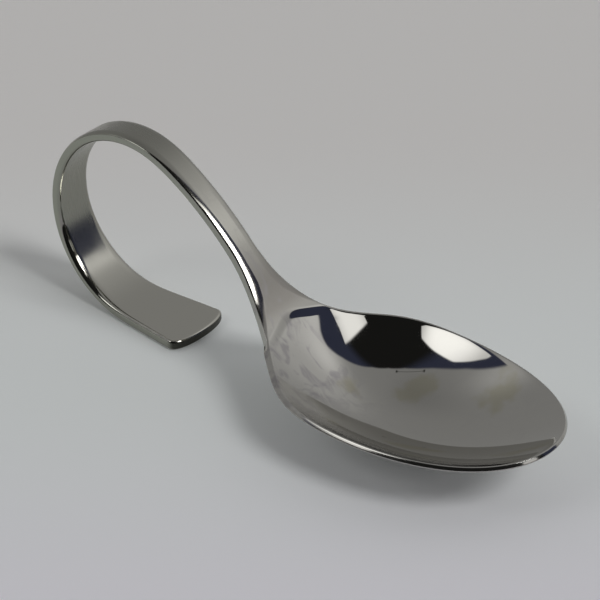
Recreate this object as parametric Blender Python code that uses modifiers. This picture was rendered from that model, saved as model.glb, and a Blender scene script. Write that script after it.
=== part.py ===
# Tasting spoon with a curled finger loop, pressed and bent from one strip of stainless steel.
# Metres. X runs from the finger loop to the tip of the bowl, Y across, Z up.
# The origin is under the middle of the spoon, on the surface that it stands on.

import math

import bmesh
import bpy

# Overall size. The rim's outer edge stands out a little past the tip of the show face.
LENGTH = 0.125
RIM_OVERHANG = 0.0004
STRIP_THICKNESS = 0.0022
BOWL_THICKNESS = 0.001
EDGE_ROUND = 0.00025

# Handle: a flat foot, a round finger loop, and a gently bowed stem down to the neck
FOOT_RUN = 0.017
FOOT_HALF_WIDTH = 0.0082
FOOT_END_BULGE = 0.003
FOOT_END_FADE = 0.012
FOOT_END_POWER = 2.2
LOOP_RADIUS = 0.0217
LOOP_TURN = math.radians(208.5)
STEM_BOW_RADIUS = 0.0715
STEM_RUN = 0.030
BEND_BLEND = 0.008
TAPER_POWER = 2.15

# Neck and bowl, seen from above
NECK_HALF_WIDTH = 0.0031
NECK_TO_TIP = 0.0748
NECK_EASE = 0.0108
SHOULDER_EASE = 0.0182
BOWL_HALF_WIDTH = 0.0207
WIDEST_TO_TIP = 0.0352
WIDEST_EASE = 0.0172
SHOULDER_FULLNESS = 0.13

# Neck and bowl, seen from the side
RIM_HEIGHT = 0.0117
RIM_RISE_RADIUS = 0.37
RIM_BLEND = 0.0103
FLOOR_BLEND = 0.0136
WALL_FULLNESS = -0.1
NECK_SHALLOWING = 0.594
NECK_FULLNESS = 0.8
BOWL_DEPTH = RIM_HEIGHT - BOWL_THICKNESS

# The dish's floor turns flat towards the neck, between these shares of the way from its widest line
FLAT_FROM = 0.603
FLAT_TO = 1.03
FLAT_POWER = 6.25

# Divisions of the flat blank: along the handle, the neck and the tip, and across one half
HANDLE_ROWS = 46
NECK_ROWS = 17
TIP_ROWS = 10
COLUMNS = 6
SPINE_STEP = 0.00025

STEEL_COLOUR = (0.60, 0.59, 0.57, 1.0)
STEEL_ROUGHNESS = 0.14

TIP_X = LENGTH / 2 - RIM_OVERHANG
NECK_X = TIP_X - NECK_TO_TIP
WIDEST_X = TIP_X - WIDEST_TO_TIP

# How sharply the outline turns at the widest place: the same on both sides of it
WIDEST_CURVATURE = BOWL_HALF_WIDTH * (1 - SHOULDER_FULLNESS) / WIDEST_TO_TIP ** 2
SHOULDER_HALF_WIDTH = BOWL_HALF_WIDTH - WIDEST_CURVATURE * WIDEST_EASE ** 2 * 4 / 3


def clear_scene():
    for old in list(bpy.data.objects):
        bpy.data.objects.remove(old, do_unlink=True)


def heading_at(distance):
    """Heading of the strip's show face, which leaves the foot's end towards -X."""
    loop_run = LOOP_RADIUS * LOOP_TURN
    in_loop = min(max(distance - FOOT_RUN, 0.0), loop_run)
    in_stem = min(max(distance - FOOT_RUN - loop_run, 0.0), STEM_RUN)
    return math.pi - in_loop / LOOP_RADIUS - in_stem / STEM_BOW_RADIUS


def blended_heading(distance, samples=8):
    """Heading averaged over a short run, so that each bend starts and ends gently."""
    total = 0.0
    for index in range(samples + 1):
        total += heading_at(distance + BEND_BLEND * (index / samples - 0.5))
    return total / (samples + 1)


def trace_handle():
    """Places (x, z) along the handle's show face, from the foot's end to the neck."""
    path = [(0.0, 0.0)]
    rearmost = 0.0
    distance = 0.0
    while True:
        heading = blended_heading(distance + SPINE_STEP / 2)
        x = path[-1][0] + math.cos(heading) * SPINE_STEP
        z = path[-1][1] + math.sin(heading) * SPINE_STEP
        path.append((x, z))
        rearmost = min(rearmost, x)
        distance += SPINE_STEP
        shift = -LENGTH / 2 - rearmost
        past_loop = distance > FOOT_RUN + LOOP_RADIUS * LOOP_TURN
        if past_loop and x + shift >= NECK_X:
            break
    return [(x + shift, z) for x, z in path], heading


HANDLE_PATH, NECK_HEADING = trace_handle()
HANDLE_RUN = SPINE_STEP * (len(HANDLE_PATH) - 1)
NECK_START_X, NECK_START_Z = HANDLE_PATH[-1]


def smooth_step(low, high, value):
    share = min(max((value - low) / (high - low), 0.0), 1.0)
    return share * share * (3 - 2 * share)


def smooth_max(first, second, blend):
    """The greater of two heights, with the corner between them rounded off."""
    overlap = max(blend - abs(first - second), 0.0) / blend
    return max(first, second) + overlap ** 3 * blend / 6


def bezier(points, share):
    while len(points) > 1:
        points = [start + (end - start) * share for start, end in zip(points, points[1:])]
    return points[0]


def stem_line(x):
    return NECK_START_Z + math.tan(NECK_HEADING) * (x - NECK_START_X)


def open_rim(x):
    """Height of the bowl's rim, dished a little from the widest place to both ends."""
    return RIM_HEIGHT + (x - WIDEST_X) ** 2 / (2 * RIM_RISE_RADIUS)


def dish(reach, radius_squared):
    """Share of the bowl's depth: 1 at the deepest place, 0 all round the rim."""
    fullness = 1 + SHOULDER_FULLNESS * reach ** 2
    return fullness * (1 - radius_squared) * (1 + WALL_FULLNESS * radius_squared)


def handle_point(distance, across):
    """A place on the show face of the foot, the loop or the stem."""
    bulge = 1 - max(1 - across ** FOOT_END_POWER, 0.0) ** (1 / FOOT_END_POWER)
    fade = max(1 - distance / FOOT_END_FADE, 0.0)
    along = distance + FOOT_END_BULGE * bulge * fade
    step = min(int(along / SPINE_STEP), len(HANDLE_PATH) - 2)
    share = along / SPINE_STEP - step
    x = HANDLE_PATH[step][0] * (1 - share) + HANDLE_PATH[step + 1][0] * share
    z = HANDLE_PATH[step][1] * (1 - share) + HANDLE_PATH[step + 1][1] * share
    taper = (1 - distance / HANDLE_RUN) ** TAPER_POWER
    half_width = NECK_HALF_WIDTH + (FOOT_HALF_WIDTH - NECK_HALF_WIDTH) * taper
    return x, half_width * across, z


def neck_profile(reach, across):
    """Share of the depth across one row: as the dish at the widest line, flat-floored at the neck."""
    fullness = WALL_FULLNESS / (1 + (1 + WALL_FULLNESS) * reach ** 2)
    fullness += NECK_FULLNESS * min(abs(reach), 1.0) ** 3
    hollow = (1 - across ** 2) * (1 + fullness * across ** 2)
    flat = 1 - across ** FLAT_POWER
    return hollow + (flat - hollow) * smooth_step(FLAT_FROM, FLAT_TO, abs(reach))


def neck_point(share, across):
    """A place between the neck and the widest line of the bowl."""
    x = bezier((NECK_START_X, NECK_START_X + NECK_EASE, WIDEST_X - SHOULDER_EASE,
                WIDEST_X - WIDEST_EASE, WIDEST_X), share)
    half_width = bezier((NECK_HALF_WIDTH, NECK_HALF_WIDTH, SHOULDER_HALF_WIDTH,
                         BOWL_HALF_WIDTH, BOWL_HALF_WIDTH), share)
    reach = (x - WIDEST_X) / WIDEST_TO_TIP
    shallower = 1 - NECK_SHALLOWING * abs(reach) ** 3
    sunk = open_rim(x) - BOWL_DEPTH * dish(reach, reach ** 2) * shallower
    rim = smooth_max(stem_line(x), open_rim(x), RIM_BLEND)
    floor = smooth_max(stem_line(x), sunk, FLOOR_BLEND)
    return x, half_width * across, rim - (rim - floor) * neck_profile(reach, across)


def tip_point(share, across):
    """A place between the widest line and the tip: a square patch drawn into a half round."""
    reach = share * math.sqrt(1 - across ** 2 / 2)
    side = across * math.sqrt(1 - share ** 2 / 2)
    x = WIDEST_X + WIDEST_TO_TIP * reach
    y = BOWL_HALF_WIDTH * side * math.sqrt(1 + SHOULDER_FULLNESS * reach ** 2)
    return x, y, open_rim(x) - BOWL_DEPTH * dish(reach, reach ** 2 + side ** 2)


def form(row, across):
    """Where a place of the flat blank goes, and how thick the steel is there."""
    if row <= HANDLE_ROWS:
        share = row / HANDLE_ROWS
        return handle_point(share * HANDLE_RUN, across), STRIP_THICKNESS
    if row <= HANDLE_ROWS + NECK_ROWS:
        share = (row - HANDLE_ROWS) / NECK_ROWS
        gauge = STRIP_THICKNESS + (BOWL_THICKNESS - STRIP_THICKNESS) * smooth_step(0.0, 1.0, share)
        return neck_point(share, across), gauge
    return tip_point((row - HANDLE_ROWS - NECK_ROWS) / TIP_ROWS, across), BOWL_THICKNESS


def pressed_half():
    """Half of the show face, open at the middle plane: a flat blank pressed into its form."""
    rows = HANDLE_ROWS + NECK_ROWS + TIP_ROWS
    mesh = bpy.data.meshes.new("spoon")
    blank = bmesh.new()
    bmesh.ops.create_grid(blank, x_segments=rows, y_segments=COLUMNS, size=1.0)
    gauges = []
    for vert in blank.verts:
        row = round((vert.co.x + 1) / 2 * rows)
        column = round((vert.co.y + 1) / 2 * COLUMNS)
        vert.co, gauge = form(row, column / COLUMNS)
        gauges.append(gauge)
    blank.to_mesh(mesh)
    blank.free()
    return mesh, gauges


def polished_steel():
    material = bpy.data.materials.new("polished_steel")
    material.use_nodes = True
    shader = material.node_tree.nodes["Principled BSDF"]
    shader.inputs["Base Color"].default_value = STEEL_COLOUR
    shader.inputs["Metallic"].default_value = 1.0
    shader.inputs["Roughness"].default_value = STEEL_ROUGHNESS
    return material


def make_spoon(collection):
    """Mirror the half, give it its gauge below the show face, and round every edge."""
    mesh, gauges = pressed_half()
    spoon = bpy.data.objects.new("spoon", mesh)
    collection.objects.link(spoon)

    group = spoon.vertex_groups.new(name="gauge")
    for index, gauge in enumerate(gauges):
        group.add([index], gauge / STRIP_THICKNESS, "REPLACE")

    mirror = spoon.modifiers.new("other_half", "MIRROR")
    mirror.use_axis = (False, True, False)
    mirror.merge_threshold = 0.00001

    shell = spoon.modifiers.new("gauge", "SOLIDIFY")
    shell.thickness = STRIP_THICKNESS
    shell.offset = -1.0
    shell.vertex_group = group.name
    shell.use_even_offset = True
    shell.use_quality_normals = True

    edges = spoon.modifiers.new("rounded_edges", "BEVEL")
    edges.width = EDGE_ROUND
    edges.segments = 2
    edges.limit_method = "ANGLE"
    edges.angle_limit = math.radians(55)

    mesh.shade_smooth()
    mesh.materials.append(polished_steel())
    return spoon


def main():
    clear_scene()
    collection = bpy.data.collections.new("tasting_spoon")
    bpy.context.scene.collection.children.link(collection)
    make_spoon(collection)


main()
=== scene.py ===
import math

import bpy
import numpy as np
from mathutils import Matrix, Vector


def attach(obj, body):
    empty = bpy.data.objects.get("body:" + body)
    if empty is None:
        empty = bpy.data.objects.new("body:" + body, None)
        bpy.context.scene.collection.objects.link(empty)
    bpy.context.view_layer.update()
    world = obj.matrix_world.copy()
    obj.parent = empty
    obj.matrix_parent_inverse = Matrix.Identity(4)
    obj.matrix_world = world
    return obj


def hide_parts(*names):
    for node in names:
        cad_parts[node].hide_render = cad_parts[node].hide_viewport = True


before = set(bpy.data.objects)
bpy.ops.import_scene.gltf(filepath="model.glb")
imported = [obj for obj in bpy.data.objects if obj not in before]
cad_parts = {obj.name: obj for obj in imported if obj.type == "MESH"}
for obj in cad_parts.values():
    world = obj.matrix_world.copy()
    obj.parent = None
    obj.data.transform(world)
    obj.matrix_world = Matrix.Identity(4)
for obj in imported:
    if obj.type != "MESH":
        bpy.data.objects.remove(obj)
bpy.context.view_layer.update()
print("frame loaded, nodes:", sorted(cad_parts))

quarterTurn = 90  # degrees

# Lengths are in metres
spoon = {
    # the solid's own sizes
    "length": 0.125,
    "rimOverhang": 0.0004,
    "stripThickness": 0.0022,
    "bowlThickness": 0.001,
    "footRun": 0.017,
    "footHalfWidth": 0.0082,
    "footEndBulge": 0.003,
    "footEndPower": 2.2,
    "loopRadius": 0.0217,
    "loopTurn": math.radians(208.5),
    "stemBowRadius": 0.0715,
    "stemRun": 0.030,
    "bendBlend": 0.008,
    "taperPower": 2.15,
    "neckHalfWidth": 0.0031,
    "neckToTip": 0.0748,
    "neckEase": 0.0108,
    "shoulderEase": 0.0182,
    "bowlHalfWidth": 0.0207,
    "widestToTip": 0.0352,
    "widestEase": 0.0172,
    "shoulderFullness": 0.13,
    "rimHeight": 0.0117,
    "rimRiseRadius": 0.37,
    "rimBlend": 0.0103,
    "floorBlend": 0.0136,
    "wallFullness": -0.1,
    "neckShallowing": 0.594,
    "neckFullness": 0.8,
    "flatPower": 6.25, "flatFrom": 0.603, "flatTo": 1.03,  # the flat floor of the dish near the neck
    "spineStep": 0.00025,
    # what only the finer skin has
    "dishStart": -0.00166, "dishOnset": 0.0018,  # where the dish starts, and the run of its first step
    "dishRound": 0.0052, "dishSoft": 1.18,  # how that step bows towards both edges
    "edgePower": 1.5,  # 2 rounds the show face's edge as an ellipse, 1 cuts it off straight
    "footFan": 0.0075,  # how far from its end the foot's rows fan out
    "footEndShare": 0.7,  # share of those rows that reach its end, not its side
    "skinScale": 0.9988,  # keeps the smooth skin inside the faceted solid's box
    "mergeDistance": 0.000002,
    "nudge": 0.001,  # share of a zone's length, or of its half width, that slopes are taken over
    "footRows": 28, "handleRows": 230, "neckRows": 260, "tipRows": 160,
    "faceColumns": 30, "roundColumns": 12, "sideColumns": 3,
    "stemShine": 0.25,  # how much of the bowl's finish the stem has where the neck starts
    "shineFrom": 0.6, "shineFull": 0.4,  # shares of the handle and of the neck between which it comes in
    "neckPart": 0.5,  # share of the run from neck to tip that the neck's rows are counted as
    "cutTurn": (45, 75), "edgeTurn": (0, 15),  # degrees round an edge where cut side and edge come in
}
spoon["bowlDepth"] = spoon["rimHeight"] - spoon["bowlThickness"]
spoon["tipX"] = spoon["length"] / 2 - spoon["rimOverhang"]
spoon["neckX"] = spoon["tipX"] - spoon["neckToTip"]
spoon["widestX"] = spoon["tipX"] - spoon["widestToTip"]


def smoothStep(low, high, value):
    share = np.clip((value - low) / (high - low), 0, 1)
    return share * share * (3 - 2 * share)


def smoothMax(first, second, blend):
    overlap = np.maximum(blend - np.abs(first - second), 0.0) / blend
    return np.maximum(first, second) + overlap ** 3 * blend / 6


def unit(vectors):
    return vectors / np.linalg.norm(vectors, axis=-1, keepdims=True)


def bezier(points, share):
    while len(points) > 1:
        points = [start + (end - start) * share for start, end in zip(points, points[1:])]
    return points[0]


def handleHeading(distance):
    loopRun = spoon["loopRadius"] * spoon["loopTurn"]
    inLoop = min(max(distance - spoon["footRun"], 0.0), loopRun)
    inStem = min(max(distance - spoon["footRun"] - loopRun, 0.0), spoon["stemRun"])
    return math.pi - inLoop / spoon["loopRadius"] - inStem / spoon["stemBowRadius"]


def blendedHeading(distance, samples=8):  # averaged over a short run, so that bends start gently
    spread = [spoon["bendBlend"] * (index / samples - 0.5) for index in range(samples + 1)]
    return sum(handleHeading(distance + shift) for shift in spread) / (samples + 1)


def traceHandle():  # x, z and heading along the show face, from the foot's end to the neck
    x, z, distance, step = 0.0, 0.0, 0.0, spoon["spineStep"]
    path = [(x, z, blendedHeading(0.0))]
    rearmost = 0.0
    pastLoop = spoon["footRun"] + spoon["loopRadius"] * spoon["loopTurn"]
    while True:
        heading = blendedHeading(distance + step / 2)
        x += math.cos(heading) * step
        z += math.sin(heading) * step
        distance += step
        rearmost = min(rearmost, x)
        path.append((x, z, heading))
        shift = -spoon["length"] / 2 - rearmost
        if distance > pastLoop and x + shift >= spoon["neckX"]:
            break
    return np.array([(px + shift, pz, ph) for px, pz, ph in path])


handlePath = traceHandle()
handleRun = spoon["spineStep"] * (len(handlePath) - 1)
neckStart = handlePath[-1]


def onHandle(distance):
    marks = np.arange(len(handlePath)) * spoon["spineStep"]
    return [np.interp(distance, marks, handlePath[:, axis]) for axis in range(3)]


def handleHalfWidth(distance):
    taper = (1 - np.minimum(distance / handleRun, 1)) ** spoon["taperPower"]
    return spoon["neckHalfWidth"] + (spoon["footHalfWidth"] - spoon["neckHalfWidth"]) * taper


def openRim(x):
    return spoon["rimHeight"] + (x - spoon["widestX"]) ** 2 / (2 * spoon["rimRiseRadius"])


def dish(reach, radiusSquared):  # 1 at the deepest place, 0 round the rim
    fullness = 1 + spoon["shoulderFullness"] * reach ** 2
    return fullness * (1 - radiusSquared) * (1 + spoon["wallFullness"] * radiusSquared)


def footSpoke(share, across):  # from a hub on the foot's middle line to its end or its side
    hub = spoon["footFan"]
    power = 2 / spoon["footEndPower"]
    bulge = spoon["footEndBulge"]
    endShare = spoon["footEndShare"]
    if share < endShare:
        turn = share / endShare * math.pi / 2
        edgeAlong = bulge * (1 - max(math.cos(turn), 0.0) ** power)
        edgeAcross = math.sin(turn) ** power
    else:
        edgeAlong = bulge + (hub - bulge) * (share - endShare) / (1 - endShare)
        edgeAcross = 1.0
    along = hub + (edgeAlong - hub) * across
    x, z, _ = onHandle(along)
    y = handleHalfWidth(edgeAlong) * edgeAcross * across
    return np.stack([x, y, z], -1)


def handleRow(share, across):
    along = spoon["footFan"] + (handleRun - spoon["footFan"]) * share
    x, z, _ = onHandle(along)
    ones = np.ones_like(across)
    return np.stack([x * ones, handleHalfWidth(along) * across, z * ones], -1)


def neckProfile(reach, across):  # share of the depth across one row, in step with the dish
    fullness = spoon["wallFullness"] / (1 + (1 + spoon["wallFullness"]) * reach ** 2)
    fullness += spoon["neckFullness"] * np.minimum(abs(reach), 1) ** 3
    hollow = (1 - across ** 2) * (1 + fullness * across ** 2)
    flat = 1 - np.abs(across) ** spoon["flatPower"]
    return hollow + (flat - hollow) * smoothStep(spoon["flatFrom"], spoon["flatTo"], abs(reach))


def neckRow(share, across):
    curvature = spoon["bowlHalfWidth"] * (1 - spoon["shoulderFullness"]) / spoon["widestToTip"] ** 2
    shoulder = spoon["bowlHalfWidth"] - curvature * spoon["widestEase"] ** 2 * 4 / 3
    x = bezier([neckStart[0], neckStart[0] + spoon["neckEase"], spoon["widestX"] - spoon["shoulderEase"],
                spoon["widestX"] - spoon["widestEase"], spoon["widestX"]], share)
    halfWidth = bezier([spoon["neckHalfWidth"], spoon["neckHalfWidth"], shoulder,
                        spoon["bowlHalfWidth"], spoon["bowlHalfWidth"]], share)
    reach = (x - spoon["widestX"]) / spoon["widestToTip"]
    stem = neckStart[1] + math.tan(neckStart[2]) * (x - neckStart[0])
    rim = smoothMax(stem, openRim(x), spoon["rimBlend"])
    shallower = 1 - spoon["neckShallowing"] * abs(reach) ** 3
    sunk = openRim(x) - spoon["bowlDepth"] * dish(reach, reach ** 2) * shallower
    bottom = smoothMax(stem, sunk, spoon["floorBlend"])
    bow = spoon["dishRound"] * across ** 2 / (1 + spoon["dishSoft"] * across ** 2)
    onset = smoothStep(0, spoon["dishOnset"], x - spoon["dishStart"] - bow)
    z = rim - (rim - bottom) * onset * neckProfile(reach, across)
    return np.stack([np.full_like(across, x), halfWidth * across, z], -1)


def tipSpoke(share, across):  # from a hub in the middle of the widest line to the rim
    reach = across * math.sin(share * math.pi / 2)
    side = across * math.cos(share * math.pi / 2)
    x = spoon["widestX"] + spoon["widestToTip"] * reach
    y = spoon["bowlHalfWidth"] * side * np.sqrt(1 + spoon["shoulderFullness"] * reach ** 2)
    z = openRim(x) - spoon["bowlDepth"] * dish(reach, across ** 2)
    return np.stack([x, y, z], -1)


def tipHeight(x, y):
    reach = (x - spoon["widestX"]) / spoon["widestToTip"]
    side = y / (spoon["bowlHalfWidth"] * np.sqrt(1 + spoon["shoulderFullness"] * reach ** 2))
    return openRim(x) - spoon["bowlDepth"] * dish(reach, reach ** 2 + side ** 2)


def tipNormal(points):  # from the slope of its height, which is exact at the hub too
    step = 1e-5  # metres
    x, y = points[:, 0], points[:, 1]
    slopeX = (tipHeight(x + step, y) - tipHeight(x - step, y)) / (2 * step)
    slopeY = (tipHeight(x, y + step) - tipHeight(x, y - step)) / (2 * step)
    return unit(np.stack([-slopeX, -slopeY, np.ones_like(x)], -1))


# Rows of the spoon's half, from the middle of the foot's end to the tip: (zone, share along it)
rowShapes = {"foot": footSpoke, "handle": handleRow, "neck": neckRow, "tip": tipSpoke}
rows = [(zone, index / spoon[zone + "Rows"])
        for zone in rowShapes for index in range(spoon[zone + "Rows"])]
rows.append(("tip", 1.0))
atEdge = np.array([1.0])  # how far across a row its edge is

# How the edges are rounded: share along the zone, then metres deep and in from the edge of the show face,
# and the same for the back
edgeRounds = {
    "handle": [(0.0, 0.0005, 0.0005, 0.0007, 0.0007), (0.08, 0.0005, 0.0006, 0.0008, 0.0010),
               (0.17, 0.0005, 0.0010, 0.0010, 0.0022), (0.28, 0.0005, 0.0010, 0.0010, 0.0020),
               (0.4, 0.0005, 0.0010, 0.0010, 0.0010), (0.55, 0.0005, 0.0010, 0.0010, 0.0010),
               (0.62, 0.0006, 0.0012, 0.0008, 0.0008), (0.8, 0.00055, 0.0016, 0.0005, 0.0005),
               (1.0, 0.0005, 0.0017, 0.0004, 0.0004)],
    "neck": [(0.0, 0.0005, 0.0017, 0.0004, 0.0004), (0.06, 0.0005, 0.0018, 0.0004, 0.0004),
             (0.13, 0.0006, 0.0023, 0.0004, 0.0004), (0.19, 0.0005, 0.0022, 0.0004, 0.0004),
             (0.23, 0.0004, 0.0016, 0.0004, 0.0004), (0.32, 0.0002, 0.0004, 0.0003, 0.0003),
             (1.0, 0.0002, 0.00025, 0.00025, 0.00025)],
}


def rowGauge(zone, share):  # thickness and the edge rounding at a row
    if zone in edgeRounds:
        shares, *sizes = np.array(edgeRounds[zone]).T
        rounding = [np.interp(share, shares, size) for size in sizes]
    else:
        rounding = edgeRounds["handle"][0][1:] if zone == "foot" else edgeRounds["neck"][-1][1:]
    thinning = {"neck": smoothStep(0, 1, share), "tip": 1.0}.get(zone, 0.0)
    thickness = spoon["stripThickness"] + (spoon["bowlThickness"] - spoon["stripThickness"]) * thinning
    return (thickness, *rounding)


def rowNormals(zone, share, across, points):
    if zone == "foot":
        return np.tile([0.0, 0.0, -1.0], (len(across), 1))
    if zone == "tip":
        return tipNormal(points)
    shape, nudge = rowShapes[zone], spoon["nudge"]
    low, high = max(share - nudge, 0.0), min(share + nudge, 1.0)
    along = shape(high, across) - shape(low, across)
    beside = shape(share, across + nudge) - shape(share, across - nudge)
    return unit(np.cross(along, beside))


def rowSection(zone, share, edge, tangent):  # from the show face's middle round the edge to the back's
    shape, nudge, count = rowShapes[zone], spoon["nudge"], spoon["faceColumns"]
    thickness, showDepth, showReach, backDepth, backReach = rowGauge(zone, share)
    normal = rowNormals(zone, share, atEdge, edge[None])[0]
    outward = unit(np.cross(normal, tangent))
    halfWidth = ((edge - shape(share, atEdge - nudge)[0]) / nudge) @ outward  # square to the edge
    turn = np.linspace(0, math.pi / 2, spoon["roundColumns"] + 1)

    slant = 2 / spoon["edgePower"]
    rounded = showReach / halfWidth
    showAcross = np.concatenate([np.linspace(0, 1 - rounded, count + 1)[:-1],
                                 1 - rounded * (1 - np.sin(turn) ** slant)])
    drop = np.concatenate([np.zeros(count), showDepth * (1 - np.cos(turn) ** slant)])
    show = shape(share, showAcross)
    show = show - rowNormals(zone, share, showAcross, show) * drop[:, None]

    backCentre = edge - backReach * outward - (thickness - backDepth) * normal
    arcOut, arcDown = np.cos(turn)[:, None] * outward, np.sin(turn)[:, None] * normal
    backArc = backCentre + backReach * arcOut - backDepth * arcDown
    backAcross = np.linspace(1 - backReach / halfWidth, 0, count + 1)[1:]
    back = shape(share, backAcross)
    back = back - rowNormals(zone, share, backAcross, back) * thickness

    sideShares = np.linspace(0, 1, spoon["sideColumns"] + 1)[1:-1, None]
    side = show[-1] + (backArc[0] - show[-1]) * sideShares
    return np.vstack([show, side, backArc, back])


def makeSections():
    edges = np.array([rowShapes[zone](share, atEdge)[0] for zone, share in rows])
    mirrored = edges * [1, -1, 1]
    before = np.vstack([mirrored[1:2], edges[:-1]])
    after = np.vstack([edges[1:], mirrored[-2:-1]])
    tangents = unit(after - before)
    return np.array([rowSection(*row, edge, tangent) for row, edge, tangent in zip(rows, edges, tangents)])


def rowMarks(zone, share):  # metres along the strip, and how much of the bowl's finish a row has
    fan, shine = spoon["footFan"], spoon["stemShine"]
    neckRun = spoon["neckToTip"] * spoon["neckPart"]
    if zone == "foot":
        return fan * share, 0.0
    if zone == "handle":
        return fan + (handleRun - fan) * share, shine * smoothStep(spoon["shineFrom"], 1, share)
    if zone == "neck":
        return handleRun + neckRun * share, shine + (1 - shine) * smoothStep(0, spoon["shineFull"], share)
    return handleRun + neckRun + (spoon["neckToTip"] - neckRun) * share, 1.0


def columnMarks(low, high):  # 0 on the faces, 1 on the cut side, changing within the rounded edges
    rise = smoothStep(low, high, np.linspace(0, quarterTurn, spoon["roundColumns"] + 1))
    face = np.zeros(spoon["faceColumns"])
    side = np.ones(spoon["sideColumns"] - 1)
    return np.concatenate([face, rise, side, rise[::-1], face])


def makeSpoon():
    sections = makeSections() * spoon["skinScale"]
    rowCount, columnCount = sections.shape[:2]
    faces = []
    for row in range(rowCount - 1):
        for column in range(columnCount - 1):
            first = row * columnCount + column
            faces.append((first, first + columnCount, first + columnCount + 1, first + 1))
    mesh = bpy.data.meshes.new("spoonSkin")
    mesh.from_pydata(sections.reshape(-1, 3).tolist(), [], faces)
    mesh.update()
    marks = np.array([rowMarks(zone, share) for zone, share in rows])
    values = {"along": np.repeat(marks[:, 0], columnCount),
              "bowlShare": np.repeat(marks[:, 1], columnCount),
              "cutSide": np.tile(columnMarks(*spoon["cutTurn"]), rowCount),
              "edge": np.tile(columnMarks(*spoon["edgeTurn"]), rowCount)}
    for name, value in values.items():
        mesh.attributes.new(name, "FLOAT", "POINT").data.foreach_set("value", value.astype(np.float32))
    skin = bpy.data.objects.new("spoonSkin", mesh)
    bpy.context.scene.collection.objects.link(skin)
    mirror = skin.modifiers.new("otherHalf", "MIRROR")
    mirror.use_axis = (False, True, False)
    mirror.merge_threshold = spoon["mergeDistance"]
    weld = skin.modifiers.new("hubs", "WELD")
    weld.merge_threshold = spoon["mergeDistance"]
    mesh.shade_smooth()
    print("spoon:", rowCount, "rows of", columnCount)
    return skin


def direction(turn, rise):  # degrees round from the near side, -Y, and above the table
    turn, rise = math.radians(turn), math.radians(rise)
    return Vector((math.sin(turn) * math.cos(rise), -math.cos(turn) * math.cos(rise), math.sin(rise)))


camera = {
    "turn": 39.164, "rise": 33.516,
    "distance": 0.4005,
    "target": (-0.00068, 0.00344, 0.01742),
    "lens": 120.0, "sensor": 36.0,  # millimetres
    "clip": (0.01, 20.0),
}


def makeCamera():
    back = direction(camera["turn"], camera["rise"])
    data = bpy.data.cameras.new("camera")
    data.lens = camera["lens"]
    data.sensor_width = camera["sensor"]
    data.clip_start, data.clip_end = camera["clip"]
    eye = bpy.data.objects.new("camera", data)
    eye.location = Vector(camera["target"]) + back * camera["distance"]
    eye.rotation_euler = back.to_track_quat("Z", "Y").to_euler()
    bpy.context.scene.collection.objects.link(eye)
    bpy.context.scene.camera = eye
    print("camera placed")


class Wire:  # an output socket, for shader maths
    def __init__(self, tree, socket=None):
        self.tree, self.socket = tree, socket

    def node(self, kind, settings=None, inputs=None, output=0):
        made = self.tree.nodes.new("ShaderNode" + kind)
        for name, value in (settings or {}).items():
            setattr(made, name, value)
        for name, value in (inputs or {}).items():
            if isinstance(value, Wire):
                self.tree.links.new(value.socket, made.inputs[name])
            else:
                made.inputs[name].default_value = value
        return Wire(self.tree, made.outputs[output])

    def maths(self, operation, *values):
        return self.node("Math", {"operation": operation}, dict(enumerate(values)))

    def __add__(self, other):
        return self.maths("ADD", self, other)

    def __sub__(self, other):
        return self.maths("SUBTRACT", self, other)

    def __rsub__(self, other):
        return self.maths("SUBTRACT", other, self)

    def __mul__(self, other):
        return self.maths("MULTIPLY", self, other)

    def __pow__(self, other):
        return self.maths("POWER", self, other)

    def __rpow__(self, other):
        return self.maths("POWER", other, self)

    def __abs__(self):
        return self.maths("ABSOLUTE", self)

    __radd__, __rmul__ = __add__, __mul__


def softStep(value, low, high):
    return value.node("MapRange", {"interpolation_type": "SMOOTHSTEP"},
                      {"Value": value, "From Min": low, "From Max": high}, "Result")


def mixColour(share, first, second):  # the colour sockets of a Mix node
    return share.node("Mix", {"data_type": "RGBA"}, {0: share, 6: first, 7: second}, 2)


noiseMiddle = 0.5  # noise runs from 0 to 1


def noise(vector, scale, detail=3.0, distortion=0.0):
    inputs = {"Vector": vector, "Scale": scale, "Detail": detail, "Distortion": distortion}
    return vector.node("TexNoise", inputs=inputs, output="Fac")


# Dried water in the bowl: streaks and short curls near the neck, fewer further out
water = {
    "colour": (0.35, 0.335, 0.335, 1), "cover": 0.9,
    "end": (0.009, 0.022), "side": (0.001, 0.006),  # x and y where the marks thin out
    "beyond": 0.06,  # share of them that is left past there
    "streakScale": (150, 280, 150), "streakBend": 1.2, "streaks": (0.48, 0.66),
    "curlScale": 190, "curlWidth": (0.01, 0.05), "curlShare": 0.5,
    "breakScale": 150, "breaks": (0.46, 0.60),  # what breaks the curls up
}


def waterMarks(place, x, y):
    stretched = place.node("VectorMath", {"operation": "MULTIPLY"}, {0: place, 1: water["streakScale"]})
    streaks = softStep(noise(stretched, 1.0, distortion=water["streakBend"]), *water["streaks"])
    fromLine = abs(noise(place, water["curlScale"], detail=1.0) - noiseMiddle)
    curls = 1 - softStep(fromLine, *water["curlWidth"])
    broken = softStep(noise(place, water["breakScale"], detail=2.0), *water["breaks"])
    nearNeck = (1 - softStep(x, *water["end"])) * (1 - softStep(y, *water["side"]))
    spread = water["beyond"] + (1 - water["beyond"]) * nearNeck
    return (streaks + curls * broken * water["curlShare"]) * spread


# Yellowish finger marks with ragged edges
smudges = {
    "colour": (0.42, 0.40, 0.31, 1), "cover": 0.7,
    "roughness": 0.03,
    "spots": [((0.0251, 0.0096, 0.0035), 0.0042), ((0.0412, 0.0140, 0.0080), 0.0050),
              ((0.0145, 0.0015, 0.0040), 0.0030)],  # middle and radius of each
    "core": 0.4, "rag": 2.0,  # shares of the radius that are covered whole, and that the edge strays by
    "ragScale": 220,
}


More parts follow.
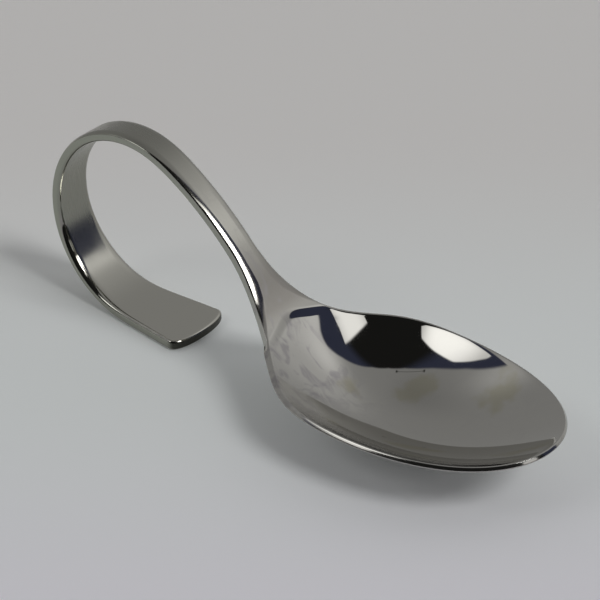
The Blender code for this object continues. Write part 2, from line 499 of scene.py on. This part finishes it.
def smudgeMarks(place):
    spots = []
    for middle, radius in smudges["spots"]:
        reach = place.node("VectorMath", {"operation": "DISTANCE"}, {0: place, 1: middle}, "Value")
        stray = (noise(place, smudges["ragScale"], detail=2.0) - noiseMiddle) * (radius * smudges["rag"])
        spots.append(1 - softStep(reach + stray, radius * smudges["core"], radius))
    return sum(spots)


# Scuffs on the near wall of the bowl below the rim
scuffs = {
    "rise": (0.0045, 0.0065), "side": (-0.0115, -0.0085),  # z and y where they come in
    "roughness": 0.1, "metalLoss": 0.25,
}


def scuffMarks(y, z):
    return softStep(z, *scuffs["rise"]) * (1 - softStep(y, *scuffs["side"]))


# One short scratch in the bowl: a thin line with a dark pit at each end
scratch = {
    "ends": ((0.0186, 0.0103), (0.0237, 0.0131)),  # x and y
    "cover": 0.85,
    "halfWidth": 0.00014, "lineShare": 0.6,
    "pitLength": 0.0006, "pitSide": (0.0001, 0.0004),
    "endFade": 0.0001,
}


def scratchMark(x, y):
    start, end = [Vector(corner) for corner in scratch["ends"]]
    run = (end - start).normalized()
    half = (end - start).length / 2
    fromMiddle = abs((x - start.x) * run.x + (y - start.y) * run.y - half)
    aside = abs((y - start.y) * run.x - (x - start.x) * run.y)
    within = 1 - softStep(fromMiddle, half, half + scratch["endFade"])
    line = (1 - softStep(aside, 0.0, scratch["halfWidth"])) * scratch["lineShare"]
    pits = softStep(fromMiddle, half - scratch["pitLength"], half)
    pits = pits * (1 - softStep(aside, *scratch["pitSide"]))
    return within * (pits + line)


steel = {
    "bowlColour": (0.48, 0.47, 0.44, 1),
    "handleColour": (0.51, 0.50, 0.45, 1),
    "loopColour": (0.32, 0.317, 0.28, 1),  # the loop is coloured darker than the foot and the stem
    "neckColour": (0.315, 0.30, 0.275, 1),  # the neck is coloured darker and browner than the stem and the bowl
    "cutColour": (0.36, 0.365, 0.315, 1),  # the cut sides of the strip
    "shearShadeAndScratchColour": (0.07, 0.07, 0.06, 1),  # painted shade: the sheared end of the foot is coloured nearly black in place of the dark contact shadow it reflects; the scratch uses it too
    "loopStart": (0.030, 0.046), "loopEnd": (0.091, 0.107),  # metres along the strip
    "neckStart": (-0.002, 0.006), "neckEnd": (0.0085, 0.0125),  # the same, from where the neck starts
    "shearEnd": (0.0040, 0.0058),
    "handleRoughness": 0.10,
    "bowlRoughness": 0.03,
    "loopRoughness": 0.17,  # added on the loop's faces
    "rimRoughness": 0.08,  # added on the bowl's rim
    "shearRoughness": 0.25,  # added on the sheared end
    "dullRoughness": 0.08, "dullSpared": 0.6,  # added where the polish has gone, and spared in the bowl
    "dullScale": 70, "dullPatches": (0.52, 0.72),
    "linesAlong": 60, "linesAcross": 6000,  # how fine the handle's polishing lines are
    "lineRoughness": 0.06, "lineHeight": 0.05,
    "ripple": 0.00001, "rippleScale": 160, "rippleStrength": 0.35,  # unevenness left by the pressing
}


def makeSteel():
    material = bpy.data.materials.new("polishedSteel")
    material.use_nodes = True
    tree = material.node_tree
    shader = tree.nodes["Principled BSDF"]
    bench = Wire(tree)
    place = bench.node("TexCoord", output="Object")
    x, y, z = [bench.node("SeparateXYZ", inputs={0: place}, output=axis) for axis in "XYZ"]
    along, inBowl, cutSide, edge = [bench.node("Attribute", {"attribute_name": name}, output="Fac")
                                    for name in ("along", "bowlShare", "cutSide", "edge")]

    # where each part of the strip is
    inLoop = softStep(along, *steel["loopStart"]) * (1 - softStep(along, *steel["loopEnd"]))
    pastHandle = along - handleRun
    onNeck = softStep(pastHandle, *steel["neckStart"]) * (1 - softStep(pastHandle, *steel["neckEnd"]))
    sheared = cutSide * (1 - softStep(along, *steel["shearEnd"]))
    # the sheared end: its nearly black colour is painted shade for the contact shadow it reflects, its
    # roughness is the cut's own

    # what polishing and use have left on it
    stripPlace = {"X": along * steel["linesAlong"], "Y": y * steel["linesAcross"]}
    lines = noise(bench.node("CombineXYZ", inputs=stripPlace), 1.0, detail=2.0)
    dull = softStep(noise(place, steel["dullScale"]), *steel["dullPatches"])
    marks = waterMarks(place, x, y) * inBowl
    smudge = smudgeMarks(place)
    scuff = scuffMarks(y, z) * inBowl * (1 - edge)
    scored = scratchMark(x, y) * inBowl * (1 - cutSide)

    roughness = (steel["handleRoughness"] + inBowl * (steel["bowlRoughness"] - steel["handleRoughness"])
                 + inLoop * (1 - edge) * steel["loopRoughness"]
                 + sheared * steel["shearRoughness"]
                 + edge * inBowl * steel["rimRoughness"]
                 + dull * steel["dullRoughness"] * (1 - steel["dullSpared"] * inBowl)
                 + smudge * smudges["roughness"]
                 + scuff * scuffs["roughness"]
                 + (lines - noiseMiddle) * steel["lineRoughness"] * (1 - inBowl))

    # the sheared end's layer is painted shade; the scratch's dark line and pits are real marks
    layers = [(inLoop, steel["loopColour"]), (cutSide, steel["cutColour"]), (sheared, steel["shearShadeAndScratchColour"]),
              (inBowl, steel["bowlColour"]), (onNeck * (1 - cutSide), steel["neckColour"]),
              (marks * water["cover"], water["colour"]), (smudge * smudges["cover"], smudges["colour"]),
              (scored * scratch["cover"], steel["shearShadeAndScratchColour"])]
    colour = steel["handleColour"]
    for share, layer in layers:  # each over the last
        colour = mixColour(share, colour, layer)

    uneven = noise(place, steel["rippleScale"], detail=2.0) + lines * (1 - inBowl) * steel["lineHeight"]
    bump = bench.node("Bump", inputs={"Strength": steel["rippleStrength"], "Distance": steel["ripple"],
                                      "Height": uneven})
    varied = {"Base Color": colour, "Roughness": roughness, "Metallic": 1 - scuff * scuffs["metalLoss"],
              "Normal": bump}
    for name, wire in varied.items():
        tree.links.new(wire.socket, shader.inputs[name])
    print("steel made")
    return material


floor = {
    "half": 1.5,
    # painted light: the near, middle and far colours make the floor lighter towards the near side, in place
    # of the light's fall across it
    "nearColour": (0.87, 0.835, 0.91, 1),
    "midColour": (0.82, 0.85, 0.845, 1),
    "farColour": (0.77, 0.755, 0.74, 1),
    "nearSide": (0.64, -0.77, 0.0),  # the way from the middle to the near side
    "fade": 0.11,  # metres from the middle to the near colour and to the far one
    # glow is painted light: the floor gives off a little light of its own, which lifts its shadows
    "roughness": 0.6, "specular": 0.2, "glow": 0.07,
}


def makeFloor():
    half = floor["half"]
    mesh = bpy.data.meshes.new("floor")
    corners = [(-half, -half, 0), (half, -half, 0), (half, half, 0), (-half, half, 0)]
    mesh.from_pydata(corners, [], [(0, 1, 2, 3)])
    sheet = bpy.data.objects.new("floor", mesh)
    bpy.context.scene.collection.objects.link(sheet)
    table = bpy.data.materials.new("table")
    table.use_nodes = True
    tree = table.node_tree
    shader = tree.nodes["Principled BSDF"]
    bench = Wire(tree)
    place = bench.node("TexCoord", output="Object")
    # painted light falloff: the floor's colour runs from darker far away to lighter near the camera
    nearness = bench.node("VectorMath", {"operation": "DOT_PRODUCT"},
                          {0: place, 1: floor["nearSide"]}, "Value")
    colour = mixColour(softStep(nearness, -floor["fade"], 0.0), floor["farColour"], floor["midColour"])
    colour = mixColour(softStep(nearness, 0.0, floor["fade"]), colour, floor["nearColour"])
    tree.links.new(colour.socket, shader.inputs["Base Color"])
    # painted light: the floor glows in its own colour
    tree.links.new(colour.socket, shader.inputs["Emission Color"])
    shader.inputs["Roughness"].default_value = floor["roughness"]
    shader.inputs["Specular IOR Level"].default_value = floor["specular"]
    shader.inputs["Emission Strength"].default_value = floor["glow"]
    mesh.materials.append(table)
    print("floor made")


# The studio round the spoon, with every direction as a turn and a rise in degrees
studio = {
    "tone": 0.315,
    "glows": [((137, 42), 60, 0.40), ((158, 30), 8, 0.25), ((-67, 39), 90, 0.22),
              ((-88, 66), 25, -0.06)],  # where, how tight, how much brighter
    "wallTone": (0.043, 0.049, 0.083, 1),  # the dark side
    "darkTone": (0.014, 0.014, 0.0135, 1),  # its darkest part
    "darkEdges": [(6.5, -21.7), (16.2, -14.5), (19.8, -12.1), (23.6, -9.9), (32.3, -7.6), (41.6, -7.2),
                  (50.6, -9.0), (54.5, -11.7)],  # where the planes that bound the dark side face
    "darkEnd": 132.5, "darkestEnds": (118, -47),  # turns at which it and its darkest part stop
    "darkCorner": [(-66, 41), (-46, 24)],  # the line that cuts off its low corner
    "darkSoftness": 0.012, "darkestSoftness": 0.12,
    # corners in order round each panel, and how much its tone falls off towards them
    "panels": [
        {"corners": [(92, 38), (108, 37), (111, 44), (110, 52), (104, 59), (92, 60), (82, 57), (80, 50),
                     (85, 43)], "tone": 9.6, "fall": 0.0},
        {"corners": [(110, 52.6), (66.3, 59.1), (64.8, 62.9), (114.9, 56.1)], "tone": 1.5, "fall": 0.3},
        {"corners": [(84, 18), (104, 18), (104, 32), (84, 32)], "tone": 0.8, "fall": 0.0},
        {"corners": [(-15.4, 55.9), (-22.7, 57.8), (-50.5, 50.9), (-56.4, 43), (-52, 30.5), (-26, 36.5),
                     (-16, 50)], "tone": 1.9, "fall": 0.5},
    ],
    "panelSoftness": 0.006,
    "panelFall": (0.968, 0.999),  # cosines from a panel's middle between which its tone falls
}


def makeStudio():
    world = bpy.data.worlds.new("studio")
    bpy.context.scene.world = world
    world.use_nodes = True
    tree = world.node_tree
    bench = Wire(tree)
    outward = bench.node("TexCoord", output="Generated")

    def facing(normal):  # above zero on the side of a plane that its normal points to
        return bench.node("VectorMath", {"operation": "DOT_PRODUCT"},
                          {0: outward, 1: tuple(normal)}, "Value")

    # even light with a few glows
    light = studio["tone"]
    for spot, tightness, gain in studio["glows"]:
        near = facing(direction(*spot))
        light = light + near.maths("MAXIMUM", near, 0.0) ** tightness * gain

    # the dark side, darkest in its middle
    *edges, lastEdge = [facing(direction(*edge)) for edge in studio["darkEdges"]]
    dark = lastEdge.maths("MINIMUM", lastEdge, facing(direction(studio["darkEnd"] - quarterTurn, 0)))
    for edge in edges:
        dark = dark.maths("MAXIMUM", dark, edge)
    first, second = [direction(*corner) for corner in studio["darkCorner"]]
    dark = dark.maths("MINIMUM", dark, facing(first.cross(second).normalized()))
    dark = softStep(dark, -studio["darkSoftness"], studio["darkSoftness"])
    high, low = studio["darkestEnds"]
    darkest = (softStep(facing(direction(high - quarterTurn, 0)), 0.0, studio["darkestSoftness"])
               * softStep(facing(direction(low + quarterTurn, 0)), 0.0, studio["darkestSoftness"]))
    colour = mixColour(dark, light, mixColour(darkest, studio["wallTone"], studio["darkTone"]))

    # the bright panels in front of both
    for panel in studio["panels"]:
        corners = [direction(*corner) for corner in panel["corners"]]
        centre = sum(corners, Vector()).normalized()
        inside = 1.0
        for first, second in zip(corners, corners[1:] + corners[:1]):
            normal = first.cross(second).normalized()
            if normal.dot(centre) < 0:
                normal.negate()
            inside = softStep(facing(normal), -studio["panelSoftness"], studio["panelSoftness"]) * inside
        fallen = panel["fall"] * (1 - softStep(facing(centre), *studio["panelFall"]))
        colour = mixColour(inside, colour, panel["tone"] * (1 - fallen))
    tree.links.new(colour.socket, tree.nodes["Background"].inputs["Color"])

    bpy.context.scene.view_settings.view_transform = "Standard"
    print("studio lit")


skin = makeSpoon()
skin.data.materials.append(makeSteel())
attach(skin, "root")
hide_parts("spoon")
makeFloor()
makeStudio()
makeCamera()
